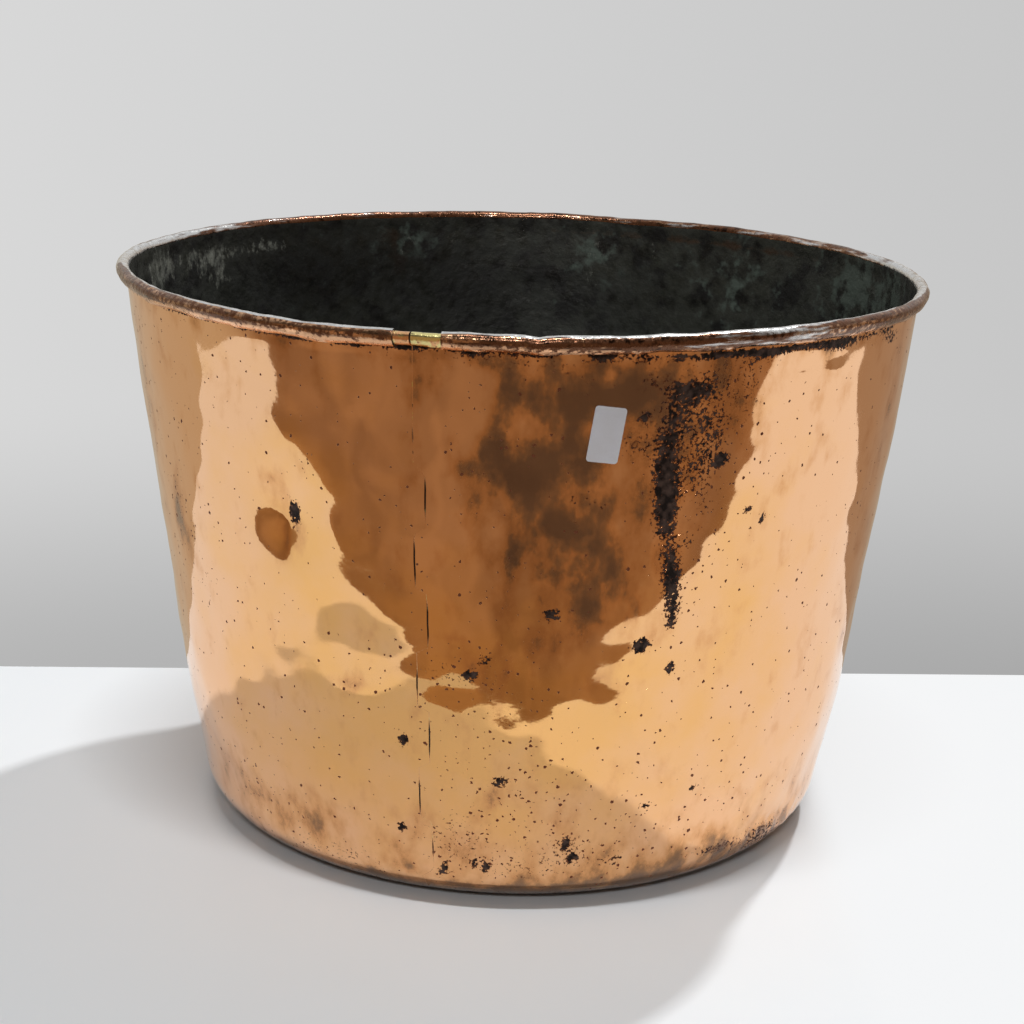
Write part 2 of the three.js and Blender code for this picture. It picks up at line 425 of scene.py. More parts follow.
def faces_outwards(bm):
    """Turns the whole surface round if its lowest ring of faces points at the axis."""
    bm.normal_update()
    lowest = min(bm.faces, key=lambda face: face.calc_center_median().z)
    middle = lowest.calc_center_median()
    outside = Vector((middle.x, middle.y, 0)).normalized() - Vector((0, 0, 1))
    if lowest.normal.dot(outside) < 0:
        bmesh.ops.reverse_faces(bm, faces=bm.faces)


# Where the surface carries marks: azimuth, height, half width, half height and strength

MARKS = {
    "crust": [
        # the black drip
        (20.6, 386, 13, 8, 0.40), (20.0, 371, 11, 9, 0.45), (19.6, 354, 10, 10, 0.58),
        (19.5, 336, 10, 10, 0.82), (19.8, 319, 10, 10, 0.88), (20.1, 303, 9, 9, 0.90),
        (20.4, 291, 8, 6, 0.60), (21.0, 279, 9, 8, 0.50), (21.3, 270, 7, 6, 0.52), (21.9, 259, 8, 9, 0.88),
        (22.1, 246, 7, 7, 0.70), (22.5, 234, 7, 7, 0.78), (22.6, 223, 5, 5, 0.80),
        # the lacy cloud beside it
        (23.0, 389, 15, 6, 0.44), (27.5, 396, 24, 8, 0.18), (25.0, 372, 20, 16, 0.26),
        (25.4, 350, 16, 17, 0.32), (24.2, 331, 12, 15, 0.34), (26, 311, 15, 16, 0.24),
        (31, 386, 10, 16, 0.26), (17.0, 395, 14, 7, 0.30), (27.5, 338, 5, 4, 0.9),
        (23, 376, 56, 30, 0.13), (14.8, 352, 14, 10, 0.36), (15.8, 371, 4, 4, 0.80),
        (11, 309, 12, 5, 0.42), (7.5, 316, 10, 5, 0.36), (24.0, 284, 5, 9, 0.44),
        # single spots
        (18.4, 208, 6, 5, 1.5), (5.1, 233, 6, 3.5, 1.3), (-33.2, 286, 5, 9, 1.2),
        (-1.4, 106, 7, 3, 1.2), (-16.2, 133, 4, 4, 1.5), (9.4, 56, 3, 4, 0.9),
        (10.8, 44, 4, 3, 0.9), (-3.4, 35, 3, 5, 0.8), (-5.4, 38, 3, 3, 0.8),
        (-10.4, 30, 3, 6, 1.1), (-17.2, 62, 4, 4, 1.0), (17.8, 40, 12, 5, 0.50),
        (23.5, 189, 4, 5, 1.1), (33, 300, 5, 4, 0.8), (35.6, 292, 3, 5, 0.9),
        (-6, 186, 5, 5, 1.0), (-4, 198, 4, 4, 0.9), (1.5, 97, 6, 4, 0.50),
        (22, 81, 7, 3, 0.8), (30.4, 90, 4, 3, 0.9), (-9.8, 188, 16, 10, 0.34),
        # soot and soil under the rim, which also paint the shade under the lip's overhang
        (46, 407, 26, 4, 0.60), (60, 404, 18, 5, 0.60), (33, 409, 14, 4, 0.55),
        (24, 405, 46, 4, 0.24), (4, 404, 40, 5, 0.26), (-10, 406, 60, 4, 0.15),
        # speckles low down, and the rough heel on the right
        (4, 38, 50, 18, 0.28), (-9, 60, 30, 24, 0.26), (10, 52, 16, 12, 0.24),
        (-30, 30, 60, 14, 0.26), (52, 26, 40, 14, 0.50), (38, 32, 30, 7, 0.45),
    ],
    "film": [
        # the brown patches left of the drip
        (-2.5, 385, 9, 26, 0.60), (-3.0, 355, 8, 12, 0.50), (6, 388, 30, 18, 0.60),
        (8, 362, 34, 20, 0.60), (-6.5, 334, 9, 8, 0.50), (-1, 330, 22, 22, 0.55),
        (5, 388, 24, 14, 0.50),
        (5, 335, 26, 26, 0.45), (1, 308, 10, 10, 0.40), (-0.6, 275, 4, 26, 0.55),
        (6, 298, 20, 10, 0.40), (11, 312, 16, 9, 0.42), (15.5, 350, 12, 12, 0.50),
        (14, 388, 20, 14, 0.50), (20, 392, 40, 18, 0.40), (28, 378, 30, 26, 0.44),
        # broad fields that darken the sheet across the middle of the front
        (5, 280, 46, 40, 0.32), (12, 265, 40, 40, 0.26), (20, 330, 20, 60, 0.30),
        (14, 330, 90, 90, 0.16),
        # a pale clean strip, and fainter stains
        (11, 396, 8, 8, -0.45), (8, 235, 70, 36, 0.22), (-4, 190, 24, 18, 0.40),
        # (-34, 280) is partly a brown stain and partly a painted dark reflection in the deep dent on the
        # left
        (-34, 280, 14, 22, 0.35), (-60, 256, 18, 34, 0.55), (-24, 171, 16, 9, 0.62),
        (-73, 370, 9, 60, 0.40), (-70, 300, 7, 40, 0.30),
        (30, 206, 22, 12, 0.18), (66, 300, 26, 110, 0.30), (-9.2, 214, 10, 4, 0.35),
        # the stains low at the front, (2, 100), (4, 46), (4, 15) and (24, 24), are partly a fired brown and
        # partly a painted reflection of the shaded table in front of the heel
        (-13, 385, 9, 14, 0.30), (2, 100, 60, 36, 0.20), (4, 46, 90, 30, 0.06),
        (4, 15, 120, 11, 0.40), (24, 24, 60, 13, 0.45),
        (-40, 60, 70, 34, 0.12), (-70, 330, 20, 90, 0.30), (48, 26, 60, 10, 0.50),
    ],
    "pits": [
        (-4, 180, 34, 26, 0.70), (0, 105, 60, 34, 0.70), (6, 60, 80, 30, 0.70),
        (27, 300, 26, 44, 0.50), (-60, 256, 22, 40, 0.75), (34, 70, 40, 26, 0.22),
        (-72, 370, 14, 40, 0.50), (-30.5, 322, 9, 9, 0.90), (-56, 214, 14, 12, 0.70),
        (-15, 140, 14, 14, 0.35), (24, 236, 12, 40, 0.40), (-22, 170, 18, 12, 0.40),
        (-45, 60, 60, 30, 0.22), (140, 80, 160, 50, 0.30), (-120, 90, 90, 50, 0.30),
        (-38, 20, 60, 12, 0.40),
    ],
    "lime": [
        (-101, 404, 30, 26, 0.50), (-114, 402, 40, 16, 0.44), (-130, 404, 50, 10, 0.40),
        (-120, 380, 20, 18, 0.34), (-160, 396, 26, 16, 0.32), (130, 350, 160, 80, 0.08),
        (168, 385, 16, 34, 0.34), (157, 398, 14, 18, 0.26), (-167, 405, 14, 14, 0.26),
        (136, 396, 22, 12, 0.22), (110, 405, 14, 18, 0.28), (-150, 396, 22, 12, 0.22),
        (90, 230, 200, 16, 0.25), (-60, 225, 200, 14, 0.25),
    ],
    "verdigris": [
        (112, 396, 40, 34, 0.52), (98, 400, 26, 30, 0.42), (140, 380, 44, 40, 0.25),
        (168, 392, 30, 26, 0.30), (-60, 390, 40, 16, 0.30), (20, 380, 60, 18, 0.30),
        (-157, 400, 30, 20, 0.34),
    ],
    "gold": [
        (-6, 150, 190, 110, 1.0), (-32, 290, 60, 80, 0.6), (34, 250, 30, 90, 0.5),
        (150, 200, 300, 90, 0.6),
    ],
    "rust": [
        (-157, 390, 22, 30, 0.34), (-165, 402, 34, 8, 0.26), (40, 300, 40, 30, 0.25),
        (150, 411, 200, 5, 0.45),
    ],
    "black": [
        (-140, 380, 120, 50, 0.55), (-170, 350, 60, 60, 0.45), (165, 350, 60, 30, 0.30),
        (0, 300, 300, 90, 0.40),
    ],
}


def strength_of(marks, azimuth, height):
    """How strong one kind of mark is at each of many places."""
    total = np.zeros(len(azimuth))
    for centre, middle, half_width, half_height, strength in marks:
        across = np.radians(turn_between(azimuth, centre)) * MEAN_RADIUS / half_width
        along = (height - middle) / half_height
        total += strength * np.exp(-(across ** 2 + along ** 2))
    return np.maximum(total, 0)


def bells(azimuth, *places):
    """A sum of bells round the rim, each given by its azimuth, half width and strength."""
    return sum(
        strength * np.exp(-(turn_between(azimuth, centre) / half_width) ** 2)
        for centre, half_width, strength in places
    )


def paint_marks(mesh):
    """Keeps on the mesh's points how strong every kind of mark is there."""
    places = np.empty(len(mesh.vertices) * 3)
    mesh.vertices.foreach_get("co", places)
    x, y, height = places.reshape(-1, 3).T / MM
    azimuth, radius = np.degrees(np.arctan2(x, -y)), np.hypot(x, y)
    marks = {name: strength_of(kind, azimuth, height) for name, kind in MARKS.items()}
    # Dirt gathers under the lip, thick and thin along it, and shade is painted with it there, as a dark
    # line and a broader film under the lip's overhang; the fire blackened the heel
    turns = range(-180, 181)
    waver = np.interp(azimuth, turns, [noise.noise(Vector((turn / 4, 6, 2))) for turn in turns])
    dirt_and_shade = 0.7 + 1.2 * waver + bells(azimuth, (12, 34, 0.2))
    # Painted shade: the dark line just under the lip and the film below it stand for soil and for the shade
    # of the lip together
    grime_and_shade_line = dirt_and_shade * np.exp(-((height - LIP_FOOT + 1.5) / 2.0) ** 4)
    dirt_and_shade_below_lip = dirt_and_shade * np.exp(-((height - LIP_FOOT + 6) / 7) ** 2)
    soot = np.clip((24 - height) / 18, 0, 1) ** 1.5
    browned = np.clip((100 - height) / 90, 0, 1)
    marks["crust"] = np.clip(marks["crust"] + grime_and_shade_line + 0.4 * soot, 0, 1)
    # Films lie over one another, so their strengths add up less and less
    marks["film"] = 1 - np.exp(-1.2 * marks["film"] - 0.4 * dirt_and_shade_below_lip - 0.3 * browned - soot)
    # Tin shows on top of the roll, laid wide there so that it also paints the silver highlight along the
    # top, and all over it where the lining was worn through to it
    angle = np.degrees(np.arctan2(height - WIRE_HEIGHT, radius - WIRE_RING))
    over = np.clip((angle - 48) / 34, 0, 1) * (angle > 0)
    spread = bells(azimuth, (-88, 12, 0.9), (82, 14, 0.6), (32, 14, 0.5))
    spread -= bells(azimuth, (160, 60, 0.5), (-140, 34, 0.35))
    marks["tin"] = np.clip(over * 0.8 + spread, 0, 1)
    # Hands wore the lip bright, more in some places than in others
    on_lip = np.clip((LIP_FOOT + 4 - height) / 2, 0, 1)
    marks["worn"] = np.clip(0.5 + 0.4 * on_lip + bells(
        azimuth, (-45, 30, -0.1), (-12, 10, 0.2), (15, 30, -0.3), (65, 20, -0.2), (170, 60, -0.2),
        (-140, 30, -0.35), (-84, 16, -0.3),
    ), 0, 1)
    levels = range(round(HEIGHT) + 1)
    marks["crack"] = np.interp(height, levels, [crack_at(level) for level in levels])
    for name, values in marks.items():
        mesh.attributes.new(name, "FLOAT", "POINT").data.foreach_set("value", values)
    # The roll's own place: along it at an eighth of its length, outwards and up
    along = np.radians((azimuth - SIDE_SEAM) % 360) * WIRE_RING / ROLL_SHORTENED
    place = np.stack([along, radius - WIRE_RING, height - WIRE_HEIGHT], 1)
    rolled = mesh.attributes.new("roll_place", "FLOAT_VECTOR", "POINT")
    rolled.data.foreach_set("vector", (place * MM).ravel())


def finish(bm, name, node, materials, thickness=0):
    """Makes a bmesh a piece of the copper, which stands for a node of the solid model."""
    mesh = bpy.data.meshes.new(name)
    bm.to_mesh(mesh)
    bm.free()
    piece = bpy.data.objects.new(name, mesh)
    bpy.context.scene.collection.objects.link(piece)
    for material in materials:
        mesh.materials.append(material)
    if thickness:
        solidify = piece.modifiers.new("sheet", "SOLIDIFY")
        solidify.thickness = thickness * MM
        solidify.offset = -1
        solidify.use_even_offset = True
        solidify.material_offset = 1 if len(materials) > 1 else 0
        bpy.context.view_layer.update()
        solid = bpy.data.meshes.new_from_object(
            piece.evaluated_get(bpy.context.evaluated_depsgraph_get())
        )
        piece.modifiers.clear()
        piece.data = solid
        bpy.data.meshes.remove(mesh)
        mesh = solid
        mesh.name = name
    mesh.shade_smooth()
    mesh.set_sharp_from_angle(angle=math.radians(SHARP_ANGLE))
    paint_marks(mesh)
    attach(piece, "root")
    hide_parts(node)


# Materials

# Sockets of a Mix node for colours
FACTOR, FIRST, SECOND, MIXED = 0, 6, 7, 2


def linear(hex_colour):
    """An sRGB hex colour as Blender's linear colour."""
    channels = [int(hex_colour[i:i + 2], 16) / 255 for i in (0, 2, 4)]
    return [c / 12.92 if c <= 0.04045 else ((c + 0.055) / 1.055) ** 2.4 for c in channels] + [1]


def per_metre(size):
    """The scale of a pattern whose grain is this many millimetres."""
    return 1 / (size * MM)


def add_node(tree, kind, inputs=None, **settings):
    """Adds a node with its settings. An input is given a value, or the socket that feeds it."""
    made = tree.nodes.new("ShaderNode" + kind)
    for name, value in settings.items():
        setattr(made, name, value)
    for name, value in (inputs or {}).items():
        if isinstance(value, bpy.types.NodeSocket):
            tree.links.new(value, made.inputs[name])
        else:
            made.inputs[name].default_value = value
    return made


def new_material(name):
    """A material, its empty node tree, and the place on the object."""
    material = bpy.data.materials.new(name)
    material.use_nodes = True
    tree = material.node_tree
    tree.nodes.clear()
    return material, tree, add_node(tree, "TexCoord").outputs["Object"]


def polished_copper():
    """Sheet copper beaten by hand, fired brown and polished back: a warm mirror with brown films,
    black crusts where liquor ran down, and small black pits."""
    material, tree, place = new_material("copper_polished_by_hand")
    crust_field, film_field, pit_field, gold_field = (
        add_node(tree, "Attribute", attribute_name=name).outputs["Fac"]
        for name in ("crust", "film", "pits", "gold")
    )
    # Each grain: its size, detail and roughness
    lace, scab, fine, patch, ripple = (
        add_node(
            tree, "TexNoise",
            {"Vector": place, "Scale": per_metre(size), "Detail": detail, "Roughness": roughness},
        ).outputs["Fac"]
        for size, detail, roughness in (
            (2.3, 4, 0.6), (6, 5, 0.5), (7, 4, 0.6), (40, 4, 0.5), (8, 2, 0.5),
        )
    )
    # Crust: the drip's edge breaks up into black specks of a millimetre or two with brown edges
    crusted = add_node(tree, "Math", {0: lace, 1: 1.7, 2: crust_field}, operation="MULTIPLY_ADD")
    crust, stained = (
        add_node(
            tree, "MapRange",
            {"Value": crusted.outputs[0], "From Min": threshold, "From Max": threshold + 0.06},
        ).outputs["Result"]
        for threshold in (1.36, 1.27)
    )
    scabby = add_node(tree, "MapRange", {"Value": scab, "From Min": 0.4, "From Max": 0.64})
    # Pits: one in each cell of a few millimetres, of ragged shape, most of them tiny
    jitter = add_node(tree, "TexNoise", {"Vector": place, "Scale": per_metre(1.8), "Detail": 2})
    shaken = add_node(
        tree, "VectorMath", {0: jitter.outputs["Color"], 1: (2.4 * MM,) * 3, 2: place},
        operation="MULTIPLY_ADD",
    )
    cells = add_node(tree, "TexVoronoi", {"Vector": shaken.outputs[0], "Scale": per_metre(3.6)})
    chance = add_node(tree, "SeparateColor", {"Color": cells.outputs["Color"]})
    few_large = add_node(tree, "Math", {0: chance.outputs["Green"], 1: 3}, operation="POWER")
    reach = add_node(
        tree, "Math", {0: few_large.outputs[0], 1: 0.24, 2: 0.12}, operation="MULTIPLY_ADD",
    )
    inside_pit = add_node(
        tree, "Math", {0: cells.outputs["Distance"], 1: reach.outputs[0]}, operation="LESS_THAN",
    )
    likely = add_node(tree, "Math", {0: pit_field, 1: 0.15}, operation="ADD")
    there = add_node(
        tree, "Math", {0: chance.outputs["Red"], 1: likely.outputs[0]}, operation="LESS_THAN",
    )
    pit = add_node(
        tree, "Math", {0: inside_pit.outputs[0], 1: there.outputs[0]}, operation="MULTIPLY",
    ).outputs[0]
    # Films: soft brown coats over one another that ran down, the thickest ones broken up
    run = add_node(tree, "Mapping", {"Vector": place, "Scale": RUNNING_DOWN})
    blotch = add_node(
        tree, "TexNoise",
        {"Vector": run.outputs["Vector"], "Scale": per_metre(20), "Detail": 6, "Roughness": 0.55},
    )
    filmed = add_node(
        tree, "Math", {0: blotch.outputs["Fac"], 1: 1.6, 2: film_field}, operation="MULTIPLY_ADD",
    )
    broken = add_node(
        tree, "Math", {0: fine, 1: 0.5, 2: filmed.outputs[0]}, operation="MULTIPLY_ADD",
    )
    # Each film: its grain, where it begins and ends, and how much it covers
    films = [
        (filmed, 0.86, 1.35, 1), (filmed, 1.14, 1.44, 0.55), (broken, 1.48, 1.66, 0.45),
        (broken, 1.62, 1.84, 0.5),
    ]
    thin, thick, thicker, thickest = (
        add_node(
            tree, "MapRange",
            {"Value": grain.outputs[0], "From Min": low, "From Max": high, "To Max": cover},
            interpolation_type="SMOOTHSTEP",
        ).outputs["Result"]
        for grain, low, high, cover in films
    )
    # The polished sheet: pink in some patches and golden in others
    golden = add_node(tree, "Math", {0: patch, 1: 1.4, 2: gold_field}, operation="MULTIPLY_ADD")
    hue = add_node(
        tree, "MapRange", {"Value": golden.outputs[0], "From Min": 0.8, "From Max": 1.6},
    ).outputs["Result"]
    scabs = add_node(
        tree, "Mix",
        {FACTOR: scabby.outputs["Result"], FIRST: linear("1B1310"), SECOND: linear("54423A")},
        data_type="RGBA",
    )
    colour = linear("F6C193")
    for cover, coat in [
        (hue, linear("F5BB77")), (thin, linear("DDA06A")), (thick, linear("947050")),
        (thicker, linear("7E6450")), (thickest, linear("64544A")), (pit, linear("7A4630")),
        (stained, linear("6E3F28")), (crust, scabs.outputs[MIXED]),
    ]:
        laid = add_node(tree, "Mix", {FACTOR: cover, FIRST: colour, SECOND: coat}, data_type="RGBA")
        colour = laid.outputs[MIXED]
    dull = add_node(tree, "Math", {0: crust, 1: pit}, operation="MAXIMUM").outputs[0]
    veiled = add_node(tree, "Math", {0: thick, 1: 0.35}, operation="MULTIPLY")
    covered = add_node(tree, "Math", {0: dull, 1: veiled.outputs[0]}, operation="MAXIMUM")
    metal = add_node(
        tree, "Math", {0: covered.outputs[0], 1: -0.95, 2: 1}, operation="MULTIPLY_ADD",
    )
    gloss = add_node(tree, "MapRange", {"Value": dull, "To Min": 0.5, "To Max": 0.12})
    # Roughness: a clean mirror, hazy under the thick films, matt on crusts
    haze = add_node(tree, "MapRange", {"Value": thick, "To Min": 0.05, "To Max": 0.15})
    rough = add_node(
        tree, "Math", {0: dull, 1: 0.45, 2: haze.outputs["Result"]}, operation="MULTIPLY_ADD",
    )
    # Bump: the last ripples of the planishing hammer, then the crust standing proud
    rippled = add_node(tree, "Bump", {"Height": ripple, "Distance": 0.03 * MM, "Strength": 1})
    raised = add_node(
        tree, "Bump",
        {"Height": dull, "Distance": 0.1 * MM, "Strength": 0.7, "Normal": rippled.outputs[0]},
    )
    shader = add_node(tree, "BsdfPrincipled", {
        "Base Color": colour, "Metallic": metal.outputs[0], "Roughness": rough.outputs[0],
        "Specular IOR Level": gloss.outputs["Result"], "Normal": raised.outputs[0],
    })
    add_node(tree, "OutputMaterial", {"Surface": shader.outputs["BSDF"]})
    return material


def rim_copper():
    """The rolled edge, rubbed along its length: copper worn bright in long streaks, brown and black between
    them, and silvery where the tin of the lining runs over the top, which also paints the highlight along
    the top of the roll."""
    material, tree, place = new_material("copper_rim_worn_and_tinned")
    worn_field, tin_field = (
        add_node(tree, "Attribute", attribute_name=name).outputs["Fac"] for name in ("worn", "tin")
    )
    along = add_node(tree, "Attribute", attribute_name="roll_place").outputs["Vector"]
    streaks = add_node(
        tree, "TexNoise", {"Vector": along, "Scale": per_metre(4), "Detail": 4, "Roughness": 0.5},
    )
    # Each streak: its field, and where it begins and ends
    bright, tin = (
        add_node(
            tree, "MapRange",
            {
                "Value": add_node(
                    tree, "Math", {0: streaks.outputs["Fac"], 1: 1.5, 2: field},
                    operation="MULTIPLY_ADD",
                ).outputs[0],
                "From Min": low, "From Max": high,
            },
        ).outputs["Result"]
        for field, low, high in ((worn_field, 0.95, 1.5), (tin_field, 1.2, 1.4))
    )
    spots = add_node(
        tree, "TexNoise", {"Vector": place, "Scale": per_metre(4), "Detail": 5, "Roughness": 0.6},
    )
    unworn = add_node(
        tree, "Math", {0: worn_field, 1: -0.3, 2: spots.outputs["Fac"]}, operation="MULTIPLY_ADD",
    )
    spotted = add_node(
        tree, "MapRange", {"Value": unworn.outputs[0], "From Min": 0.33, "From Max": 0.42},
    ).outputs["Result"]
    metal = add_node(tree, "MapRange", {"Value": spotted, "To Min": 1, "To Max": 0.7})
    rough = add_node(
        tree, "MapRange",
        {"Value": spots.outputs["Fac"], "From Min": 0.35, "From Max": 0.65, "To Min": 0.1, "To Max": 0.35},
    )
    knocks = add_node(tree, "TexNoise", {"Vector": place, "Scale": per_metre(5), "Detail": 3})
    bump = add_node(
        tree, "Bump", {"Height": knocks.outputs["Fac"], "Distance": 0.8 * MM, "Strength": 0.8},
    )
    colour = linear("4A352B")
    for cover, tone in ((bright, "F4BE93"), (spotted, "6B452E"), (tin, "D9D8D6")):
        laid = add_node(tree, "Mix", {FACTOR: cover, FIRST: colour, SECOND: linear(tone)}, data_type="RGBA")
        colour = laid.outputs[MIXED]
    shader = add_node(tree, "BsdfPrincipled", {
        "Base Color": colour, "Metallic": metal.outputs["Result"],
        "Roughness": rough.outputs["Result"], "Normal": bump.outputs[0],
    })
    add_node(tree, "OutputMaterial", {"Surface": shader.outputs["BSDF"]})
    return material


def dark_inside():
    """The lining: tin gone black and grey over the copper, with chalky drips, verdigris and a
    little rust. It drinks the light, with dull glints where it was wiped."""
    material, tree, place = new_material("lining_blackened_tin")
    clouds = add_node(
        tree, "TexNoise", {"Vector": place, "Scale": per_metre(24), "Detail": 5, "Roughness": 0.6},
    )
    blots = add_node(
        tree, "TexNoise", {"Vector": place, "Scale": per_metre(11), "Detail": 3, "Roughness": 0.5},
    )
    run = add_node(tree, "Mapping", {"Vector": place, "Scale": RUNNING_DOWN})
    drips = add_node(
        tree, "TexNoise",
        {"Vector": run.outputs["Vector"], "Scale": per_metre(9), "Detail": 7, "Roughness": 0.75},
    )
    mottled = add_node(
        tree, "MapRange", {"Value": clouds.outputs["Fac"], "From Min": 0.4, "From Max": 0.6},
    )
    coats = [(mottled.outputs["Result"], "43453E")]
    # Each coat: its field, its grain, its tone, where it begins and how soft its edge is
    for name, grain, tone, threshold, edge in [
        ("verdigris", blots, "5C675E", 0.82, 0.2), ("rust", clouds, "4A3524", 0.92, 0.2),
        ("black", clouds, "0D0D0C", 0.62, 0.6), ("lime", drips, "94968C", 0.98, 0.2),
    ]:
        field = add_node(tree, "Attribute", attribute_name=name)
        strength = add_node(
            tree, "Math", {0: grain.outputs["Fac"], 1: 1.2, 2: field.outputs["Fac"]},
            operation="MULTIPLY_ADD",
        )
        shown = add_node(
            tree, "MapRange",
            {"Value": strength.outputs[0], "From Min": threshold, "From Max": threshold + edge,
             "To Max": 0.85},
        )
        coats.append((shown.outputs["Result"], tone))
    colour = linear("1C1C1A")
    for cover, tone in coats:
        laid = add_node(tree, "Mix", {FACTOR: cover, FIRST: colour, SECOND: linear(tone)}, data_type="RGBA")
        colour = laid.outputs[MIXED]
    rough = add_node(
        tree, "MapRange",
        {"Value": blots.outputs["Fac"], "From Min": 0.35, "From Max": 0.65, "To Min": 0.36, "To Max": 0.7},
    )
    scale = add_node(tree, "TexNoise", {"Vector": place, "Scale": per_metre(7), "Detail": 4})
    bump = add_node(
        tree, "Bump", {"Height": scale.outputs["Fac"], "Distance": 1 * MM, "Strength": 0.8},
    )
    shader = add_node(tree, "BsdfPrincipled", {
        "Base Color": colour, "Metallic": 0.25,
        "Roughness": rough.outputs["Result"], "Normal": bump.outputs[0],
    })
    add_node(tree, "OutputMaterial", {"Surface": shader.outputs["BSDF"]})
    return material


def brass(name, copper_share):
    """Spelter brass melted into a joint: pale yellow where it was cleaned, coppery where it
    thins out over the sheet, and dark in its pores."""
    material, tree, place = new_material(name)
    spread = add_node(
        tree, "TexNoise", {"Vector": place, "Scale": per_metre(6), "Detail": 4, "Roughness": 0.6},
    )
    thin = add_node(
        tree, "MapRange",
        {"Value": spread.outputs["Fac"], "From Min": 0.62 - 0.3 * copper_share,
         "From Max": 0.72 - 0.3 * copper_share},
    ).outputs["Result"]
    pores = add_node(
        tree, "TexNoise", {"Vector": place, "Scale": per_metre(3), "Detail": 4, "Roughness": 0.7},
    )
    porous = add_node(
        tree, "MapRange", {"Value": pores.outputs["Fac"], "From Min": 0.6, "From Max": 0.66},
    ).outputs["Result"]
    cracked = add_node(tree, "Attribute", attribute_name="crack").outputs["Fac"]
    gone = add_node(tree, "Math", {0: porous, 1: cracked}, operation="MAXIMUM").outputs[0]
    metal = add_node(tree, "Math", {0: gone, 1: -0.8, 2: 1}, operation="MULTIPLY_ADD")
    rough = add_node(
        tree, "MapRange", {"Value": pores.outputs["Fac"], "To Min": 0.08, "To Max": 0.36},
    )
    bump = add_node(
        tree, "Bump", {"Height": spread.outputs["Fac"], "Distance": 0.5 * MM, "Strength": 0.8},
    )
    colour = linear("F0E29C")
    for cover, tone in ((thin, "EFB684"), (gone, "2E1E16")):
        laid = add_node(tree, "Mix", {FACTOR: cover, FIRST: colour, SECOND: linear(tone)}, data_type="RGBA")
        colour = laid.outputs[MIXED]
    shader = add_node(tree, "BsdfPrincipled", {
        "Base Color": colour, "Metallic": metal.outputs[0],
        "Roughness": rough.outputs["Result"], "Normal": bump.outputs[0],
    })
    add_node(tree, "OutputMaterial", {"Surface": shader.outputs["BSDF"]})
    return material


def iron_wire():
    """Drawn iron wire with a brown skin of rust: dull and dark, seen only in the rim's crack."""
    material, tree, place = new_material("iron_wire_rusted")
    rusting = add_node(
        tree, "TexNoise", {"Vector": place, "Scale": per_metre(4), "Detail": 4, "Roughness": 0.7},
    ).outputs["Fac"]
    bump = add_node(tree, "Bump", {"Height": rusting, "Distance": 0.3 * MM, "Strength": 0.8})
    rusted = add_node(
        tree, "Mix", {FACTOR: rusting, FIRST: linear("2A2523"), SECOND: linear("6A4030")},
        data_type="RGBA",
    )
    shader = add_node(tree, "BsdfPrincipled", {
        "Base Color": rusted.outputs[MIXED], "Metallic": 0.3, "Roughness": 0.7,
        "Normal": bump.outputs[0],
    })
    add_node(tree, "OutputMaterial", {"Surface": shader.outputs["BSDF"]})
    return material


def label_paper():
    """A coated paper label: nearly white, faintly grey in its fibres, and a little glossy."""
    material, tree, place = new_material("label_coated_paper")
    fibres = add_node(
        tree, "TexNoise", {"Vector": place, "Scale": per_metre(1.5), "Detail": 4, "Roughness": 0.6},
    ).outputs["Fac"]
    soiled = add_node(tree, "TexNoise", {"Vector": place, "Scale": per_metre(14), "Detail": 2})
    rough = add_node(tree, "MapRange", {"Value": fibres, "To Min": 0.4, "To Max": 0.6})
    bump = add_node(tree, "Bump", {"Height": fibres, "Distance": 0.03 * MM, "Strength": 0.5})
    colour = linear("F6F5FA")
    for cover, tone in ((fibres, "E6E5EC"), (soiled.outputs["Fac"], "E2DEE0")):
        laid = add_node(tree, "Mix", {FACTOR: cover, FIRST: colour, SECOND: linear(tone)}, data_type="RGBA")
        colour = laid.outputs[MIXED]
    shader = add_node(tree, "BsdfPrincipled", {
        "Base Color": colour, "Roughness": rough.outputs["Result"], "Normal": bump.outputs[0],
    })
    add_node(tree, "OutputMaterial", {"Surface": shader.outputs["BSDF"]})
    return material


def table_paint():
    """White satin paint, with the faint unevenness of a roller. On the right it carries a painted glare: a
    glow that the camera and the copper see, which makes it nearly white there and hides the soft shadow
    that the softbox above casts on it."""
    material, tree, place = new_material("table_white_paint")
    uneven = add_node(tree, "TexNoise", {"Vector": place, "Scale": per_metre(60), "Detail": 4})
    rough = add_node(
        tree, "MapRange", {"Value": uneven.outputs["Fac"], "To Min": 0.42, "To Max": 0.66},
    )
    paint = add_node(
        tree, "BsdfPrincipled",
        {"Base Color": linear("ECF1F5"), "Specular IOR Level": 0.3,
         "Roughness": rough.outputs["Result"]},
    )
    # Painted glare: on the right a glow, seen only by the camera and in the copper, covers the paint and
    # the shadow on it
    across = add_node(tree, "SeparateXYZ", {"Vector": place}).outputs["X"]
    glare = add_node(
        tree, "MapRange",
        {"Value": across, "From Min": GLARE_BEGINS * MM, "From Max": GLARE_FULL * MM, "To Max": 0.8},
        interpolation_type="SMOOTHSTEP",
    )
    path = add_node(tree, "LightPath").outputs
    looked_at = add_node(
        tree, "Math", {0: path["Is Camera Ray"], 1: path["Is Glossy Ray"]}, operation="MAXIMUM",
    )
    share = add_node(
        tree, "Math", {0: glare.outputs["Result"], 1: looked_at.outputs[0]}, operation="MULTIPLY",
    )
    white = add_node(tree, "Emission", {"Color": linear("F5F6F7"), "Strength": 1})
    surface = add_node(
        tree, "MixShader", {0: share.outputs[0], 1: paint.outputs[0], 2: white.outputs[0]},
    )
    add_node(tree, "OutputMaterial", {"Surface": surface.outputs[0]})
    return material


copper = polished_copper()
inside = dark_inside()
rim = rim_copper()
seam_brass = brass("brass_in_seams_mostly_copper", 0.9)
rim_brass_left = brass("brass_at_rim_thin", 0.8)
rim_brass_right = brass("brass_at_rim_yellow", 0.25)

ROLLED = 2


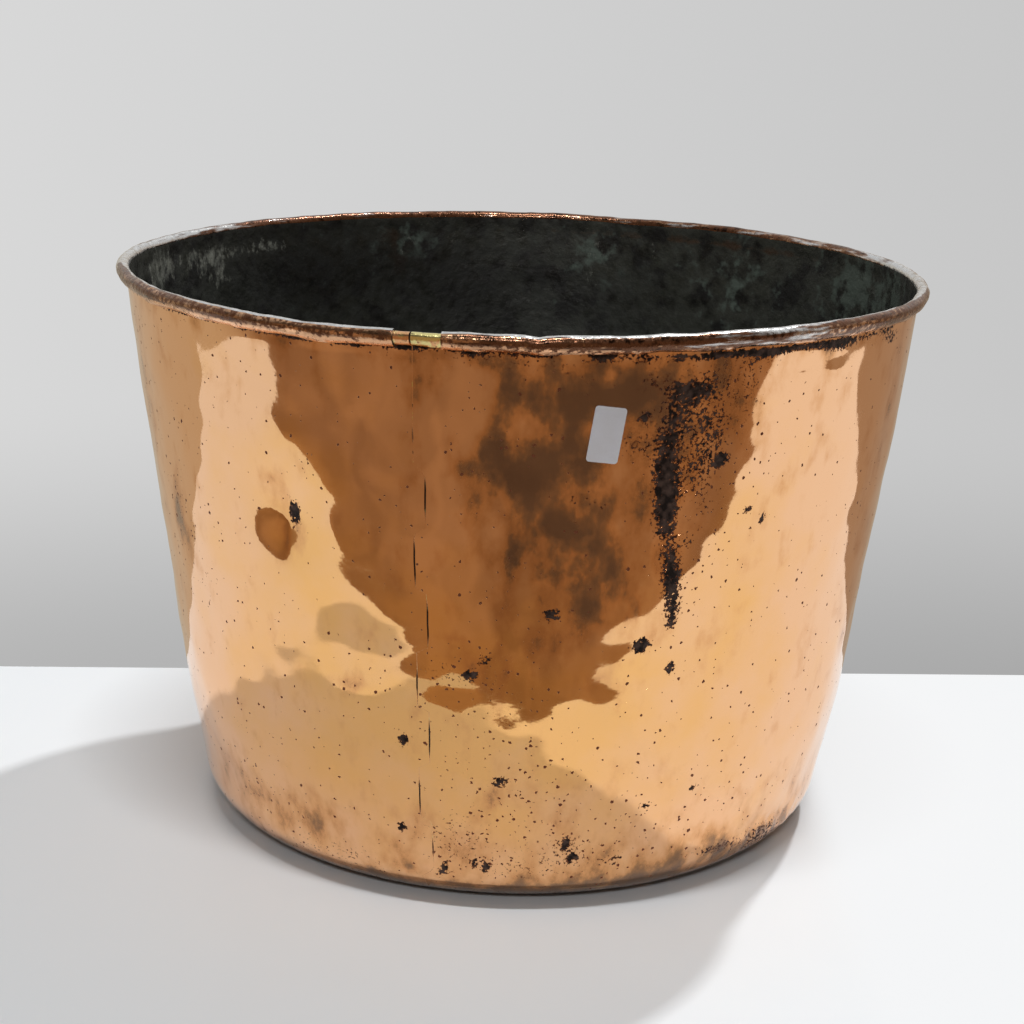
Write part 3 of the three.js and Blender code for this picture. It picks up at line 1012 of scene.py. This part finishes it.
def make_wall():
    half_gap = degrees_along(SEAM_WIDTH / 2, NECK_RADIUS)
    base_gap = degrees_along(SEAM_WIDTH / 2, HEEL_RADIUS)
    outline = wall_outline(BASE_SEAM_SLOPE + base_gap) + roll_outline(180, ROLL_STEPS)
    bm = spun(outline, SIDE_SEAM + half_gap, SIDE_SEAM + 360 - half_gap, COLUMNS)
    faces_outwards(bm)
    for face in bm.faces:
        middle = face.calc_center_median() / MM
        if middle.z > WIRE_HEIGHT or middle.xy.length > NECK_RADIUS + LIP_CLEARANCE / 2:
            face.material_index = ROLLED
    shape_to_seams(bm)
    cut_rim_notch(bm)
    weather(bm)
    finish(
        bm, "wall_of_sheet_copper", "wall_sheet",
        [copper, inside, inside, rim], SHEET,
    )


def crack_azimuth():
    return SIDE_SEAM - degrees_along(SIDE_TOOTH_DEPTH / 2, WIRE_RING)


def rim_braze_ends():
    """The azimuths of the brass at the rim: its left end, the crack's two sides, its right end."""
    crack = crack_azimuth()
    half = degrees_along(RIM_CRACK / 2, WIRE_RING)
    return (
        crack - degrees_along(RIM_BRAZE_LEFT, WIRE_RING),
        crack - half,
        crack + half,
        crack + degrees_along(RIM_BRAZE_RIGHT, WIRE_RING),
    )


def cut_rim_notch(bm):
    """Takes the rolled part away where the brass fills the rim."""
    left, _, _, right = rim_braze_ends()
    gap = degrees_along(RIM_NOTCH_GAP, WIRE_RING)
    for azimuth in (left - gap, right + gap):
        near = [
            face for face in bm.faces
            if face.material_index == ROLLED
            and abs(turn_between(azimuth_of(face.calc_center_median()), azimuth)) < 3
        ]
        geometry = set(near)
        for face in near:
            geometry.update(face.edges)
            geometry.update(face.verts)
        bmesh.ops.bisect_plane(
            bm, geom=list(geometry), dist=0.00001,
            plane_co=(0, 0, 0), plane_no=(cosine(azimuth), sine(azimuth), 0),
        )
    gone = []
    for face in bm.faces:
        middle = face.calc_center_median()
        turn = azimuth_of(middle)
        out, up = middle.xy.length / MM - WIRE_RING, middle.z / MM - WIRE_HEIGHT
        before_brass = up > 0 and math.degrees(math.atan2(up, out)) > RIM_BRAZE_ANGLE
        if face.material_index == ROLLED and left - gap < turn < right + gap and not before_brass:
            gone.append(face)
    bmesh.ops.delete(bm, geom=gone, context="FACES")


def make_base():
    base_gap = degrees_along(SEAM_WIDTH / 2, HEEL_RADIUS)
    floor = [(FLOOR_RADIUS * i / FLOOR_RINGS, 0) for i in range(FLOOR_RINGS)]
    heel = rising_arc(
        heel_point(0), HEEL_RADIUS, 0, BASE_SEAM_SLOPE - base_gap,
        arc_steps(HEEL_RADIUS, BASE_SEAM_SLOPE),
    )
    bm = spun(floor + heel, SIDE_SEAM, SIDE_SEAM + 360, COLUMNS)
    faces_outwards(bm)
    seam_and_weather(bm)
    finish(bm, "base_of_sheet_copper", "base_pan", [copper, inside], SHEET)


def make_base_braze():
    half = degrees_along(SEAM_WIDTH / 2, HEEL_RADIUS)
    outline = rising_arc(
        heel_point(BASE_SEAM_SLOPE - half), HEEL_RADIUS,
        BASE_SEAM_SLOPE - half, BASE_SEAM_SLOPE + half, 2,
    )
    bm = spun(outline, SIDE_SEAM, SIDE_SEAM + 360, COLUMNS)
    faces_outwards(bm)
    seam_and_weather(bm)
    finish(bm, "brass_in_base_seam", "base_seam_braze", [seam_brass], SHEET)


def make_side_braze():
    """The brass between the seam's teeth, sunk in where the seam has cracked."""
    half = degrees_along(SEAM_WIDTH / 2, NECK_RADIUS)
    base_gap = degrees_along(SEAM_WIDTH, HEEL_RADIUS)
    bm = spun(wall_outline(BASE_SEAM_SLOPE + base_gap), SIDE_SEAM - half, SIDE_SEAM + half, 4)
    faces_outwards(bm)
    for vert in bm.verts:
        sunk = CRACK_DEPTH * crack_at(vert.co.z / MM)
        vert.co = at(azimuth_of(vert.co), vert.co.xy.length / MM - sunk, vert.co.z / MM)
    seam_and_weather(bm)
    finish(bm, "brass_in_side_seam", "side_seam_braze", [seam_brass], SHEET)


def make_rim_braze(name, node, material, from_azimuth, to_azimuth):
    bm = spun(roll_outline(RIM_BRAZE_ANGLE, BRAZE_STEPS), from_azimuth, to_azimuth, 8)
    faces_outwards(bm)
    weather(bm)
    finish(bm, name, node, [material], SHEET)


def make_wire():
    _, crack_left, crack_right, _ = rim_braze_ends()
    bm = bmesh.new()
    ring = bmesh.ops.create_circle(bm, cap_ends=True, segments=12, radius=WIRE_RADIUS * MM)
    upright = Matrix.Rotation(math.radians(90), 4, "X")
    bmesh.ops.transform(bm, matrix=upright, verts=ring["verts"])
    bmesh.ops.translate(bm, vec=(WIRE_RING * MM, 0, WIRE_HEIGHT * MM), verts=ring["verts"])
    to_start = Matrix.Rotation(math.radians(crack_right - 90), 4, "Z")
    bmesh.ops.transform(bm, matrix=to_start, verts=ring["verts"])
    bmesh.ops.spin(
        bm, geom=bm.verts[:] + bm.edges[:] + bm.faces[:], cent=(0, 0, 0), axis=(0, 0, 1),
        angle=math.radians(360 + crack_left - crack_right), steps=COLUMNS // 2,
    )
    bmesh.ops.recalc_face_normals(bm, faces=bm.faces)
    weather(bm)
    finish(bm, "iron_wire_in_rim", "rim_wire", [iron_wire()])


def make_label():
    """A rounded rectangle, cut into small faces, laid on the wall."""
    bm = bmesh.new()
    bmesh.ops.create_grid(bm, x_segments=1, y_segments=1, size=0.5)
    bmesh.ops.scale(bm, vec=(LABEL_WIDTH, LABEL_LENGTH, 1), verts=bm.verts)
    bmesh.ops.bevel(
        bm, geom=bm.verts[:], offset=LABEL_CORNER, segments=6, profile=0.5,
        affect="VERTICES", material=-1,
    )
    for axis, half in ((0, LABEL_WIDTH / 2), (1, LABEL_LENGTH / 2)):
        normal = [0, 0, 0]
        normal[axis] = 1
        cut = LABEL_CELL - half
        while cut < half:
            place = [0, 0, 0]
            place[axis] = cut
            bmesh.ops.bisect_plane(
                bm, geom=bm.verts[:] + bm.edges[:] + bm.faces[:], dist=0.0001,
                plane_co=place, plane_no=normal,
            )
            cut += LABEL_CELL
    tilt = Matrix.Rotation(math.radians(-LABEL_TILT), 3, "Z")
    bmesh.ops.rotate(bm, cent=(0, 0, 0), matrix=tilt, verts=bm.verts)
    for vert in bm.verts:
        height = HEIGHT - LABEL_DROP + vert.co.y
        radius = wall_radius(height) + LABEL_GAP + LABEL_THICKNESS
        azimuth = LABEL_AZIMUTH + degrees_along(vert.co.x, radius)
        vert.co = weathered(at(azimuth, radius, height))
    faces_outwards(bm)
    finish(
        bm, "blank_paper_label", "paper_label", [label_paper()], LABEL_THICKNESS,
    )


# The table, the light and the camera

# The table's edges: its front, its back where the picture's left and right sides cut it, and
# how far it goes to each side
TABLE_FRONT = -500
TABLE_BACK_LEFT = (-475, 236)
TABLE_BACK_RIGHT = (488, 299)
TABLE_HALF = 1400
TABLE_DEPTH = 30
TABLE_GAP = 0.2
# Where the painted glare on the table begins and where it is full, across the table
GLARE_BEGINS = 225
GLARE_FULL = 265

SOFTBOXES = [
    # name, place, width, height and watts
    ("softbox_back_right", (4164, 5268, 12000), 450, 450, 790),
    ("softbox_above", (-190, -3618, 13523), 4500, 800, 808),
    ("softbox_front", (-600, -11453, 8030), 3000, 1500, 412),
]

# The camera, as it was worked out from the outlines in the photograph
CAMERA_DISTANCE = 1626.7
CAMERA_HEIGHT = 674.3
CAMERA_PITCH = 15.35
CAMERA_YAW = 0.147
CAMERA_ROLL = 1.704
FOCAL_PIXELS = 2133
PICTURE_PIXELS = 1024
SENSOR_WIDTH = 36


def make_table():
    """A white table whose front edge is just below the picture."""
    bm = bmesh.new()
    (left, back_left), (right, back_right) = TABLE_BACK_LEFT, TABLE_BACK_RIGHT
    slant = (back_right - back_left) / (right - left)
    corners = [
        (-TABLE_HALF, TABLE_FRONT),
        (TABLE_HALF, TABLE_FRONT),
        (TABLE_HALF, back_right + slant * (TABLE_HALF - right)),
        (-TABLE_HALF, back_left - slant * (TABLE_HALF + left)),
    ]
    top = bm.faces.new([bm.verts.new(Vector((x, y, -TABLE_GAP)) * MM) for x, y in corners])
    below = bmesh.ops.extrude_face_region(bm, geom=[top])
    under = [item for item in below["geom"] if isinstance(item, bmesh.types.BMVert)]
    bmesh.ops.translate(bm, vec=(0, 0, -TABLE_DEPTH * MM), verts=under)
    bmesh.ops.recalc_face_normals(bm, faces=bm.faces)
    mesh = bpy.data.meshes.new("table")
    bm.to_mesh(mesh)
    bm.free()
    mesh.materials.append(table_paint())
    table = bpy.data.objects.new("table", mesh)
    bpy.context.scene.collection.objects.link(table)


def add_softbox(name, place, width, height, watts):
    light = bpy.data.lights.new(name, "AREA")
    light.shape = "RECTANGLE"
    light.size, light.size_y = width * MM, height * MM
    light.energy = watts
    lamp = bpy.data.objects.new(name, light)
    lamp.location = Vector(place) * MM
    lamp.rotation_euler = (-lamp.location).to_track_quat("-Z", "Y").to_euler()
    bpy.context.scene.collection.objects.link(lamp)


def build_room():
    """A pale wall behind, which the camera sees, with painted light falling off across it towards the floor
    and the right, a brown room in front that the copper mirrors, and a low even light for matt surfaces."""
    world = bpy.data.worlds.new("studio")
    bpy.context.scene.world = world
    world.use_nodes = True
    tree = world.node_tree
    tree.nodes.clear()
    looking = add_node(tree, "TexCoord").outputs["Generated"]
    towards = add_node(tree, "SeparateXYZ", {"Vector": looking}).outputs
    # The wall that the camera sees, with painted light that falls off towards the floor and to the right
    wall = add_node(
        tree, "MapRange",
        {"Value": towards["Z"], "From Min": -0.345, "From Max": -0.21, "To Min": 0.46, "To Max": 0.68},
        interpolation_type="SMOOTHSTEP",
    )
    falloff = add_node(
        tree, "Math", {0: towards["X"], 1: -0.35, 2: 0.92}, operation="MULTIPLY_ADD",
    )
    seen_wall = add_node(
        tree, "Math", {0: wall.outputs["Result"], 1: falloff.outputs[0]}, operation="MULTIPLY",
    )
    furniture = add_node(tree, "TexNoise", {"Vector": looking, "Scale": 4, "Detail": 2})
    # Where each part of the room begins and ends, along one way of looking
    behind, above, side, cluttered = (
        add_node(
            tree, "MapRange", {"Value": way, "From Min": low, "From Max": high},
        ).outputs["Result"]
        for way, low, high in (
            (towards["Y"], -0.25, 0.1), (towards["Z"], 0.02, 0.35), (towards["X"], -0.5, 0.5),
            (furniture.outputs["Fac"], 0.35, 0.65),
        )
    )
    # Each part of the room turns from one tone to another
    front, walls, ceiling = (
        add_node(
            tree, "Mix", {FACTOR: turned, FIRST: linear(tone), SECOND: linear(other)},
            data_type="RGBA",
        ).outputs[MIXED]
        for turned, tone, other in (
            (cluttered, "A78A6D", "8B7159"), (side, "C0B7A5", "A69481"),
            (behind, "544D47", "D2D4D6"),
        )
    )
    path = add_node(tree, "LightPath").outputs
    colour = front
    for cover, part in [
        (behind, walls), (above, ceiling), (path["Is Diffuse Ray"], linear("62605E")),
        (path["Is Camera Ray"], seen_wall.outputs[0]),
    ]:
        laid = add_node(tree, "Mix", {FACTOR: cover, FIRST: colour, SECOND: part}, data_type="RGBA")
        colour = laid.outputs[MIXED]
    background = add_node(tree, "Background", {"Color": colour})
    add_node(tree, "OutputWorld", {"Surface": background.outputs["Background"]})


def place_camera():
    """The camera looks a little down at the copper, and is turned a little, as in the photograph."""
    data = bpy.data.cameras.new("camera")
    data.sensor_width = SENSOR_WIDTH
    data.lens = SENSOR_WIDTH * FOCAL_PIXELS / PICTURE_PIXELS
    camera = bpy.data.objects.new("camera", data)
    turn = Matrix.Rotation(math.radians(CAMERA_YAW), 4, "Z")
    turn @= Matrix.Rotation(math.radians(90 - CAMERA_PITCH), 4, "X")
    turn @= Matrix.Rotation(math.radians(CAMERA_ROLL), 4, "Z")
    place = Vector((0, -CAMERA_DISTANCE, CAMERA_HEIGHT)) * MM
    camera.matrix_world = Matrix.Translation(place) @ turn
    bpy.context.scene.collection.objects.link(camera)
    bpy.context.scene.camera = camera


place_camera()
make_wall()
make_base()
make_base_braze()
make_side_braze()
LEFT_END, LEFT_CRACK, RIGHT_CRACK, RIGHT_END = rim_braze_ends()
make_rim_braze("brass_left_of_crack", "rim_braze_left", rim_brass_left, LEFT_END, LEFT_CRACK)
make_rim_braze("brass_right_of_crack", "rim_braze_right", rim_brass_right, RIGHT_CRACK, RIGHT_END)
make_wire()
make_label()
make_table()
for softbox in SOFTBOXES:
    add_softbox(*softbox)
build_room()
bpy.context.scene.view_settings.view_transform = "Standard"
